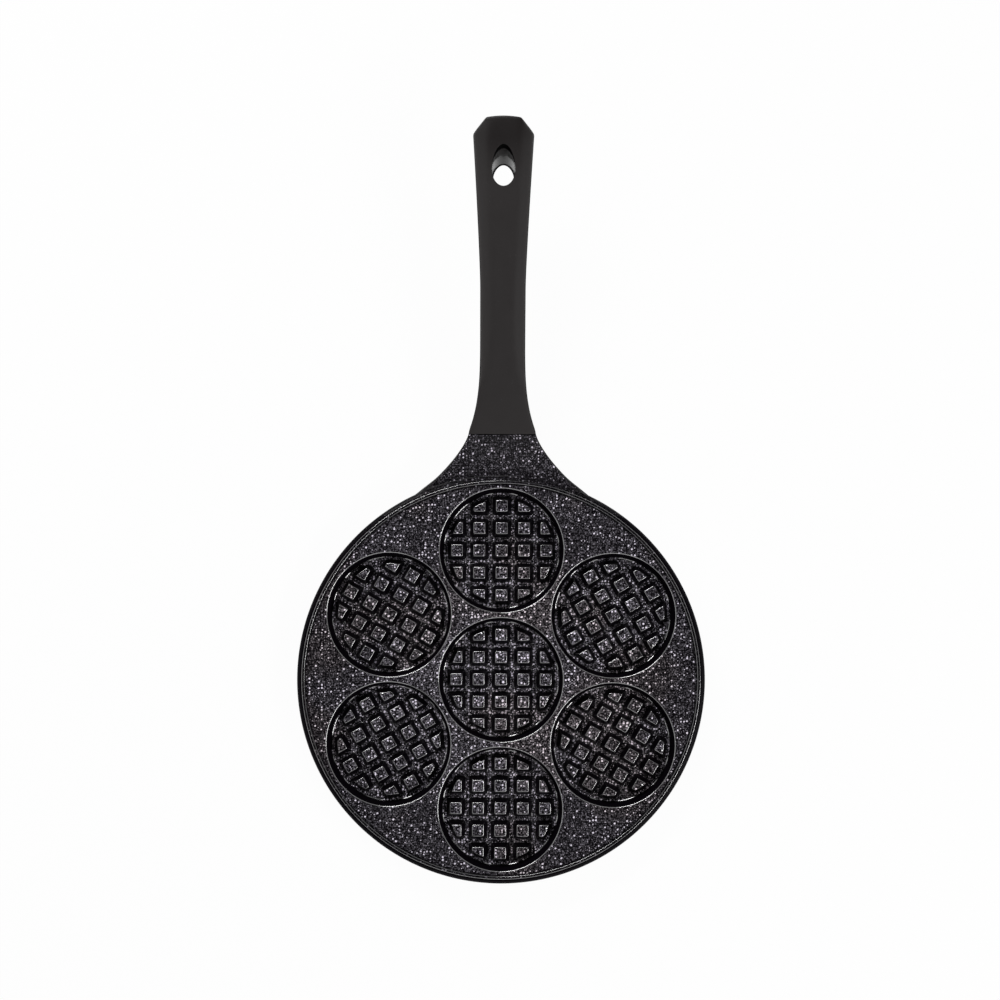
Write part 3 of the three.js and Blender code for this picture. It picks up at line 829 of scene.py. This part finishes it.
def make_neck():
    """The neck, with a root that reaches 3 mm into the pan."""
    rings = [neck_ring(share) for share in NECK_SHARES]
    root = [point - Vector((0, 3, 0)) for point in rings[0]]
    end = [neck_ring(share, inset=inset) for share, inset in NECK_END]
    piece = sweep("neck", [root, *rings, *end])
    subdivide(piece, 2)
    for vert in piece.data.vertices:
        tilt = max(-1.0, min(1.0, vert.normal.z * 1.6))
        arc, start, reach = FILLET_ABOVE if tilt > 0 else FILLET_BENEATH
        near = reach - min(reach, max(0.0, vert.co.xy.length - start))
        vert.co.z += tilt * (arc - math.sqrt(arc ** 2 - near ** 2))
    return piece


neck = make_neck()
print("neck:", len(neck.data.polygons), "faces")

# %% [markdown]
# ## Pockets and tongue
#
# The foundry cores out the neck from beneath, to keep its walls even and save metal. The pocket is the
# neck's own sweep, drawn in by a wall and a roof, and a rib parts it in two. From the neck's end a tongue
# reaches into the handle. It is a tapered block in the frame of the joint, with rounded edges. Then neck and
# body are joined.

# %% Pockets under the neck
WALL, ROOF, SUNK = 3.6, 4.4, 1.5
POCKET_SHARES = (0.26, 0.36, 0.46, 0.56, 0.68, 0.8)
RIB = 3.2


def box(name, size, centre, station=None, rounding=0.0, taper=0.0):
    """A block in a station's frame, tapered along its length and with rounded edges."""
    bm = bmesh.new()
    bmesh.ops.create_cube(bm, size=1)
    bmesh.ops.scale(bm, vec=size, verts=bm.verts)
    if taper:
        narrow = 1 - 2 * taper / size[0]
        bmesh.ops.scale(bm, vec=(narrow, 1, 1), verts=[v for v in bm.verts if v.co.y > 0])
    if rounding:
        round_edges(bm, bm.edges[:], rounding, 3)
    bmesh.ops.translate(bm, vec=centre, verts=bm.verts)
    if station:
        bmesh.ops.transform(bm, matrix=station.matrix(), verts=bm.verts)
    return to_object(name, bm)


pocket = sweep("pocket", [neck_ring(share, WALL, ROOF, SUNK) for share in POCKET_SHARES])
combine(pocket, box("rib", (RIB, 60, 60), (0, 145, 10)), "DIFFERENCE")
combine(neck, pocket, "DIFFERENCE")
print("neck with pockets:", len(neck.data.polygons), "faces")

# %% Tongue, and the casting made whole
TONGUE_WIDTH = 26.0
TONGUE_THICKNESS = 7.0
TONGUE_LENGTH = 32.0
TONGUE_LIFT = 1.5
TONGUE_ROOT = 4
TONGUE_EDGE, TONGUE_TAPER = 0.8, 0.8
tongue = box("tongue", (TONGUE_WIDTH, TONGUE_LENGTH + TONGUE_ROOT, TONGUE_THICKNESS),
             (0, TONGUE_LENGTH / 2 - TONGUE_ROOT / 2, TONGUE_LIFT), JOINT, TONGUE_EDGE, TONGUE_TAPER)
combine(neck, tongue, "UNION")
combine(casting, neck, "UNION")
print("casting with neck:", len(casting.data.polygons), "faces")

# %% [markdown]
# ## The screw hole and the bare base
#
# The screw passes through the tongue, so the casting is drilled on the screw's axis. The base ring is faced
# on a lathe after coating: those faces get the bare, turned metal, and all others the coat.

# %% Drill and face
SCREW_AXES = Station(JOINT.at(0, 17, 0), JOINT_SLOPE).matrix()
DRILL_RADIUS = 2.8


def turned_on_screw(name, profile, steps=48):
    """A closed turned solid on the screw's axis."""
    bm = bmesh.new()
    turn(bm, profile, steps)
    bmesh.ops.transform(bm, matrix=SCREW_AXES, verts=bm.verts)
    return to_object(name, bm)


drill = turned_on_screw("drill", [(0, -9), (DRILL_RADIUS, -9), (DRILL_RADIUS, 7), (0, 7)])
combine(casting, drill, "DIFFERENCE")
casting.data.materials.append(coat.material)
casting.data.materials.append(bare)
for face in casting.data.polygons:
    low = max(casting.data.vertices[index].co.z for index in face.vertices) < SEAT_DEPTH - 0.05
    face.material_index = int(low and face.center.xy.length < BASE_RADIUS + 0.5)
finish(casting, "pan_casting", [coat.material, bare])

# %% [markdown]
# ## The steel disc
#
# Aluminium doesn't heat on an induction hob, so a perforated steel disc is pressed into the base, and the
# casting's studs fill its holes. The disc is drawn flat, as one circle with 36 circles in it, filled,
# thickened by an extrusion and given finely broken edges.

# %% Disc
DISC_RADIUS = 84.0
HOLE_RADIUS = 3.0
BROKEN_EDGE = 0.15


def make_disc():
    """The perforated disc in the base."""
    bm = bmesh.new()
    bmesh.ops.create_circle(bm, radius=DISC_RADIUS, segments=PAN_STEPS)
    for place in stud_places():
        hole = bmesh.ops.create_circle(bm, radius=HOLE_RADIUS, segments=STUD_STEPS)["verts"]
        bmesh.ops.translate(bm, vec=place, verts=hole)
    bmesh.ops.triangle_fill(bm, use_beauty=True, normal=(0, 0, 1), edges=bm.edges[:])
    made = bmesh.ops.extrude_face_region(bm, geom=bm.faces[:])["geom"]
    bmesh.ops.translate(bm, vec=(0, 0, SEAT_DEPTH), verts=only(BMVert, made))
    bm.normal_update()
    rims = [edge for edge in bm.edges if len(edge.link_faces) == 2
            and sum(abs(face.normal.z) > 0.9 for face in edge.link_faces) == 1
            and all(vert.co.z < CLOSE for vert in edge.verts)]
    round_edges(bm, rims, BROKEN_EDGE, 1)
    return to_object("base_disc_detail", bm)


disc = make_disc()
finish(disc, "base_plate", [steel])

# %% [markdown]
# ## The handle
#
# The handle starts with the neck's own section, draws in to a waist and widens towards its end. Long
# facets break its top edges: they start as fine edges at the joint and open out to broad planes. Its end
# is slightly bowed, with clipped corners. All of this is in the cross-sections: the clip is a limit on
# their width, and the sections near the ends are set in to round the end edges.

# %% Handle sections
FIT = 0.3
GRIP_LENGTH = 192.0
TIP_RISE = 40.5
GRIP_START = JOINT.at(0, FIT, 0)
GRIP_RUN = math.sqrt(GRIP_LENGTH ** 2 - TIP_RISE ** 2)
GRIP_LINE = (GRIP_START, JOINT.at(0, 62, 0), GRIP_START + Vector((0, GRIP_RUN, TIP_RISE)))
WAIST, TIP_HALF, END_HALF = 14.2, 19.5, 10.2
WIDENS_FROM = 0.475
THICKEST, TIP_THICKNESS = 19.5, 17.0
CORNER = 11.5
END_BOW = 3.4
GRIP_SOFT = (1.5, 1.5, 1.9, 2.2)
SAMPLES = 400
samples = [curve_point(*GRIP_LINE, step / SAMPLES)[0] for step in range(SAMPLES + 1)]
lengths = [0.0]
for first, second in zip(samples, samples[1:]):
    lengths.append(lengths[-1] + (second - first).length)
GRIP_REACH = lengths[-1]
print(f"handle: {GRIP_REACH:.1f} mm along its curve")


def grip_station(distance):
    """The handle's frame at a distance from its start, measured along its curve."""
    index = min(SAMPLES, max(1, bisect.bisect_left(lengths, distance)))
    part = (distance - lengths[index - 1]) / (lengths[index] - lengths[index - 1])
    centre, along = curve_point(*GRIP_LINE, (index - 1 + part) / SAMPLES)
    return Station(centre, math.atan2(along.z, along.y))


def half_thickness(share):
    """Half the handle's thickness: it swells, thins out, and drops a little over its last 16 mm."""
    early = mix(JOINT_THICKNESS, THICKEST, between(share, 0, WIDENS_FROM))
    tip_drop = 1.4 * (1 - between((1 - share) * GRIP_REACH, 0, 16)) ** 2
    return mix(early, TIP_THICKNESS, between(share, WIDENS_FROM, 1)) / 2 - tip_drop


def grip_ring(distance, inset=0.0):
    """The handle's ring at a distance from its start."""
    share = distance / GRIP_REACH
    flare = (JOINT_HALF_WIDTH - WAIST) * (1 - between(share, 0, 0.3)) ** 3
    half_width = WAIST + flare + (TIP_HALF - WAIST) * between(share, WIDENS_FROM, 1) ** 1.22
    sweep_in = 1 - (1 - between(share, 0.14, 0.43)) ** 3
    facet_flat = mix(7.8, 10.3, between(share, 0.43, 0.75))
    under = between(share, 0, 0.2)
    lean, rise = mix(1.2, 0, under), mix(1.6, 5.2, under)
    top_flat, top_drop = mix(half_width - 1, facet_flat, sweep_in), mix(1.0, 4.6, sweep_in)
    under_flat = half_width - lean - rise
    # The clip of the end's corners is a limit on the width that grows with the distance from the end. The
    # bow of the end shifts it, and it has a slight belly.
    left = GRIP_REACH - distance
    bow = END_BOW * (1 - between(left, 0, 9.8))
    limit = mix(END_HALF, TIP_HALF, left / CORNER)
    limit = mix(END_HALF, TIP_HALF, (left + bow * (limit / TIP_HALF) ** 2) / CORNER)
    limit += 0.45 * math.sin(math.pi * min(1.0, left / CORNER))
    if limit < half_width:
        top_drop *= (limit - top_flat) / (half_width - top_flat)
        rise = max(0.6, rise * (limit - under_flat) / (half_width - under_flat))
        half_width, under_flat = limit, min(under_flat, limit - 0.6)
    section = (half_width, half_thickness(share), top_flat, top_drop, lean, under_flat, rise)
    return cage_ring(grip_station(distance), section, GRIP_SOFT, 2, bow, TIP_HALF, inset)


# Each ring by its distance, from the joint or from the end, and its inset.
FROM_JOINT = [(0.0, 0.55), (0.1, 0.16), (0.6, 0.0), (3.0, 0.0)]
FROM_JOINT += [(8.0 + (GRIP_REACH - 26.0) * step / 26, 0.0) for step in range(27)]
FROM_END = ((14.6, 0), (12.2, 0), (10.7, 0), (9.2, 0), (6.8, 0), (4.4, 0), (2.6, 0), (1.1, 0), (0.3, 0.3),
            (0, 1.1))
rings = [grip_ring(distance, inset) for distance, inset in FROM_JOINT]
rings += [grip_ring(GRIP_REACH - distance, inset) for distance, inset in FROM_END]
handle = sweep("handle_grip_detail", rings)
subdivide(handle, 2)
print("handle:", len(handle.data.polygons), "faces")

# %% [markdown]
# ## Hanging hole, socket and screw seat
#
# The hanging hole is an egg on top and nearly round beneath: its near wall stands square and its far wall
# slopes in, so a hook finds it easily. It is cut by a swept plug. The rows at its ends should round the
# rims, but their arc runs the wrong way: each rim keeps a fine bead, and the walls behind it stand back by
# RIM. The socket takes the tongue, and from beneath a counterbore takes the screw's head and washers.

# %% Hanging hole
HOLE_START = GRIP_REACH - 42.0
HOLE_LENGTHS = (14.0, 24.8)
HOLE_WIDTHS = (12.4, 14.2)
HOLE_STEPS = 72
RIM = 0.6
RIM_STEPS = 5
HOLE_HALF = 8.6


def hole_ring(level, flare):
    """One ring of the plug, at a level from -1, the underside, to 1, the top."""
    share = (level + 1) / 2
    length, width = mix(*HOLE_LENGTHS, share) + 2 * flare, mix(*HOLE_WIDTHS, share) + 2 * flare
    ring = []
    for step in range(HOLE_STEPS):
        angle = math.tau * step / HOLE_STEPS
        across = width / 2 * math.sin(angle) * (1 + 0.15 * math.cos(angle))
        along = length / 2 * (1 - math.cos(angle)) - flare
        station = grip_station(HOLE_START + along)
        half = half_thickness((HOLE_START + along) / GRIP_REACH)
        ring.append(station.at(across, 0, level * half))
    return ring


def hole_plug():
    """The solid that cuts the hole: it sticks out a little on both sides, with its widest rings there."""
    rings = []
    for side in (-1, 1):
        rows = [(1.12, RIM), (1.0, RIM)]
        for step in range(1, RIM_STEPS + 1):
            angle = math.pi / 2 * step / RIM_STEPS
            rows.append((1 - RIM * math.sin(angle) / HOLE_HALF, RIM * (1 - math.cos(angle))))
        rings += [hole_ring(side * level, flare) for level, flare in (rows if side < 0 else rows[::-1])]
    return sweep("plug", rings)


combine(handle, hole_plug(), "DIFFERENCE")
print("handle with its hole:", len(handle.data.polygons), "faces")

# %% Socket and screw seat
WASHER_THICKNESS = 0.8
SPRING_THICKNESS = 1.1
SPRING_LIFT = 0.25
HEAD_HEIGHT = 2.4
# The seat stands above the underside by the height of head and washers and the play between them.
SEAT = (FIT + WASHER_THICKNESS + SPRING_THICKNESS + SPRING_LIFT + HEAD_HEIGHT + 3 * FIT
        - JOINT_THICKNESS / 2)
SOCKET = (26.6, TONGUE_LENGTH + 1.3, 7.6)
socket_middle = (0, (TONGUE_LENGTH + FIT - 1) / 2, TONGUE_LIFT)
combine(handle, box("socket", SOCKET, socket_middle, JOINT, TONGUE_EDGE, TONGUE_TAPER), "DIFFERENCE")
bore = [(0, -12), (DRILL_RADIUS, -12), (DRILL_RADIUS, TONGUE_LIFT), (0, TONGUE_LIFT)]
combine(handle, turned_on_screw("bore", bore), "DIFFERENCE")
counterbore = [(0, -13), (6.6, -13), (6.5, -9.6), (5.9, -9.0), (5.9, SEAT), (0, SEAT)]
combine(handle, turned_on_screw("counterbore", counterbore), "DIFFERENCE")
finish(handle, "handle_grip", [soft.material])

# %% [markdown]
# ## Gloss inside the hole
#
# The moulding's steep sides are matt, in a dark grey that is a painted shade. Only the walls of the hanging
# hole are polished, from a few millimetres below the top, and above that they are matt, with the same
# painted shade. The depth below the sloping top is a dot product with the handle's own up direction, so the
# gloss starts level with the rim.

# %% Polished walls
HOLE_SIDE = 0.0085
HOLE_FROM, HOLE_TO = 0.303, 0.334
GLOSS_FROM, GLOSS_FULL = 0.0042, 0.0052
hole_middle = grip_station(HOLE_START + 12)
top_level = hole_middle.centre.dot(hole_middle.up) + half_thickness((HOLE_START + 12) / GRIP_REACH)
grip_up = soft.upward()
grip_across = soft.part(soft.place, 0)
depth = top_level * MM - soft.vector("DOT_PRODUCT", soft.place, hole_middle.up, output="Value")
in_hole = (HOLE_SIDE ** 2 - grip_across * grip_across > 0) * soft.ramp(grip_up, 0.92, 0.8)
in_hole = in_hole * (grip_along > HOLE_FROM) * (1 - (grip_along > HOLE_TO))
polished = in_hole * soft.ramp(depth, GLOSS_FROM, GLOSS_FULL)
soft.feed(coat_weight=polished)
# Steep sides and the hole's upper walls get a dark matt grey: a painted shade.
soft.matt_sides(grip_up + polished, grey(0.004), in_hole - polished)
print(f"hole: glossy from {GLOSS_FROM / MM:.1f} mm below the top")

# %% [markdown]
# ## Screw and washers
#
# They are seen only from beneath, in the counterbore, but they are made whole: a pan head with a cross
# recess, a thread and a blunt point, a flat washer, and a split spring washer whose ends stand apart. The
# thread is a small ridge spun up the shank with a lift at every step, and the spring washer is a small
# rectangle spun through not quite a full turn.

# %% Screw
WASHER = SEAT - FIT - WASHER_THICKNESS
SPRING = WASHER - FIT - SPRING_LIFT - SPRING_THICKNESS
HEAD = SPRING - FIT
SCREW_LENGTH = (TONGUE_LIFT + TONGUE_THICKNESS / 2) - 0.6 - HEAD
THREAD_PITCH = 0.8
THREAD_TURNS = 11
THREAD_STEPS = 24
WASHER_INNER, WASHER_OUTER = 2.8, 5.0
SPRING_OUTER = 4.4
SPRING_STEPS = 72


def on_screw(name, bm, height):
    """Puts a bmesh on the screw's axis, at a height."""
    bmesh.ops.translate(bm, vec=(0, 0, height), verts=bm.verts)
    bmesh.ops.transform(bm, matrix=SCREW_AXES, verts=bm.verts)
    return to_object(name, bm)


def make_screw():
    """The screw with its cross recess and thread."""
    bm = bmesh.new()
    turn(bm, [(0, -HEAD_HEIGHT), (2.6, -HEAD_HEIGHT), (3.8, -2.05), (4.6, -1.2), (4.6, -0.15), (4.45, 0),
              (2.1, 0), (2.1, SCREW_LENGTH - 1.2), (1.2, SCREW_LENGTH), (0, SCREW_LENGTH)], 48)
    screw = on_screw("handle_screw_detail", bm, HEAD)
    for size in ((4.6, 0.9, 2.6), (0.9, 4.6, 2.6)):
        slot = bmesh.new()
        bmesh.ops.create_cube(slot, size=1)
        bmesh.ops.scale(slot, vec=size, verts=slot.verts)
        bmesh.ops.scale(slot, vec=(0.72, 0.72, 1), verts=[v for v in slot.verts if v.co.z > 0])
        combine(screw, on_screw("slot", slot, HEAD - HEAD_HEIGHT), "DIFFERENCE")
    thread = bmesh.new()
    points = [(2.05, -0.36), (2.48, -0.04), (2.48, 0.04), (2.05, 0.36)]
    section = thread.faces.new([thread.verts.new((radius, 0, 1.0 + rise)) for radius, rise in points])
    bmesh.ops.spin(thread, geom=[section], cent=(0, 0, 0), axis=(0, 0, 1), angle=math.tau * THREAD_TURNS,
                   steps=THREAD_STEPS * THREAD_TURNS, dvec=(0, 0, THREAD_PITCH / THREAD_STEPS))
    ridge = on_screw("thread", thread, HEAD)
    both = bmesh.new()
    both.from_mesh(screw.data)
    put_in(both, ridge.data, Matrix())
    both.to_mesh(screw.data)
    both.free()
    bpy.data.objects.remove(ridge)
    return screw


def make_washer():
    """The flat washer."""
    bm = bmesh.new()
    turn(bm, [(WASHER_INNER, 0), (WASHER_OUTER, 0), (WASHER_OUTER, WASHER_THICKNESS),
              (WASHER_INNER, WASHER_THICKNESS), (WASHER_INNER, 0)], 64)
    rims = circle_edges(bm, WASHER_OUTER, 0) + circle_edges(bm, WASHER_OUTER, WASHER_THICKNESS)
    round_edges(bm, rims, 0.15, 2)
    return on_screw("flat_washer_detail", bm, WASHER)


def make_spring():
    """The split washer, whose ends stand apart in height."""
    bm = bmesh.new()
    gap = math.radians(16)
    verts = [bm.verts.new((radius, 0, height)) for radius, height in (
        (WASHER_INNER, 0), (SPRING_OUTER, 0), (SPRING_OUTER, SPRING_THICKNESS),
        (WASHER_INNER, SPRING_THICKNESS))]
    bmesh.ops.rotate(bm, verts=verts, matrix=Matrix.Rotation(gap / 2, 3, "Z"), cent=(0, 0, 0))
    face = bm.faces.new(verts)
    bmesh.ops.spin(bm, geom=[face], cent=(0, 0, 0), axis=(0, 0, 1), angle=math.tau - gap,
                   steps=SPRING_STEPS, dvec=(0, 0, 0.24 / SPRING_STEPS))
    bmesh.ops.remove_doubles(bm, verts=bm.verts, dist=MERGE)
    return on_screw("spring_washer_detail", bm, SPRING)


for piece, node in ((make_screw(), "handle_screw"), (make_washer(), "flat_washer"),
                    (make_spring(), "spring_washer")):
    finish(piece, node, [zinc.material])

# %% [markdown]
# ## Floor, world and lamps
#
# The picture is a catalogue view from straight above. The floor is matt paper that glows white to the camera
# and to reflections, and a little of the paper's own light is left in that white, so it keeps a faint
# shadow. The world is a pale fill. Reflections see it pale at the horizon and nearly black overhead, as
# under a dark ceiling, so that the coat's flats stay deep. Two narrow lamps, at the right and beyond the
# handle, draw crisp lights along the edges, and two broad soft ones, in front and at the left, open the
# shadows.

# %% Floor
FLOOR_GLOW = 0.96


def path_mask(nodes):
    """1 for the rays of the camera, of reflections and of transmission."""
    names = ("Is Camera Ray", "Is Glossy Ray", "Is Transmission Ray")
    seen, mirrored, through = (nodes.node("ShaderNodeLightPath", output=name) for name in names)
    return seen.at_least(mirrored).at_least(through)


bm = bmesh.new()
bmesh.ops.create_grid(bm, x_segments=1, y_segments=1, size=4.0)
bmesh.ops.translate(bm, vec=(0, 0, -0.0002), verts=bm.verts)
floor = to_object("floor", bm)
paper = bpy.data.materials.new("white_paper")
paper.use_nodes = True
sheet = Nodes(paper.node_tree)
sheet.tree.nodes.remove(sheet.tree.nodes["Principled BSDF"])
matt = sheet.node("ShaderNodeBsdfDiffuse", {"Color": grey(0.94)})
glow = sheet.node("ShaderNodeEmission", {"Color": grey(1)})
surface = sheet.node("ShaderNodeMixShader", {0: path_mask(sheet) * FLOOR_GLOW, 1: matt, 2: glow})
sheet.plug(sheet.tree.nodes["Material Output"].inputs["Surface"], surface)
floor.data.materials.append(paper)
print("floor: white paper,", floor.dimensions.x, "m wide")

# %% World
FILL_STRENGTH = 0.22
CEILING_DARK = 0.97
world = bpy.data.worlds.new("studio")
bpy.context.scene.world = world
world.use_nodes = True
sky = Nodes(world.node_tree)
sky.tree.nodes.remove(sky.tree.nodes["Background"])
above = sky.part(sky.node("ShaderNodeTexCoord", output="Generated"), 2)
mirrored = sky.node("ShaderNodeLightPath", output="Is Glossy Ray")
ceiling = sky.ramp(above, 0.3, 0.8) * CEILING_DARK * mirrored
fill = sky.node("ShaderNodeBackground", {"Color": grey(1), "Strength": FILL_STRENGTH})
white = sky.node("ShaderNodeBackground", {"Color": grey(0.8), "Strength": 1 - ceiling})
surface = sky.node("ShaderNodeMixShader", {0: path_mask(sky), 1: fill, 2: white})
sky.plug(sky.tree.nodes["World Output"].inputs["Surface"], surface)
print("world:", len(sky.tree.nodes), "nodes")

# %% Lamps
PAN_AIM = Vector((0, 0.1, 0))
# Each lamp's place, its width and height, and its watts.
LAMPS = {
    "right_lamp": ((1.2, -0.62, 1.0), (1.2, 0.25), 12),
    "back_lamp": ((-0.55, 1.4, 1.0), (1.2, 0.25), 15),
    "near_lamp": ((0.1, -1.6, 0.7), (1.6, 1.2), 4.5),
    "left_lamp": ((-1.35, -0.1, 1.0), (1.6, 1.2), 3),
}
for name, (place, size, watts) in LAMPS.items():
    light = bpy.data.lights.new(name, "AREA")
    light.shape, light.energy = "RECTANGLE", watts
    light.size, light.size_y = size
    lamp = bpy.data.objects.new(name, light)
    bpy.context.scene.collection.objects.link(lamp)
    lamp.location = place
    lamp.rotation_euler = (PAN_AIM - Vector(place)).to_track_quat("-Z", "Y").to_euler()
    print(f"{name}: {size[0]} x {size[1]} m, {watts} W")

# %% [markdown]
# ## Camera
#
# The camera looks straight down from a metre above the rim, over a point between the pan's centre and the
# handle. Its lens takes in 640 mm at that distance, and a small shift puts the whole pan in the middle of
# the picture.

# %% Camera
VIEW_FROM = Vector((0.0, 0.064, 1.016))
FRAME_WIDTH = 0.640
RIM_DISTANCE = 1.0
lens = bpy.data.cameras.new("camera")
lens.sensor_width = 36.0
lens.lens = lens.sensor_width * RIM_DISTANCE / FRAME_WIDTH
lens.shift_x = -0.0015
lens.shift_y = 0.08
camera = bpy.data.objects.new("camera", lens)
bpy.context.scene.collection.objects.link(camera)
camera.location = VIEW_FROM
camera.rotation_euler = (0, 0, math.radians(0.286))
bpy.context.scene.camera = camera
bpy.context.scene.view_settings.view_transform = "Standard"
print(f"camera: {lens.lens:.1f} mm lens, {VIEW_FROM.z:.3f} m above the table")
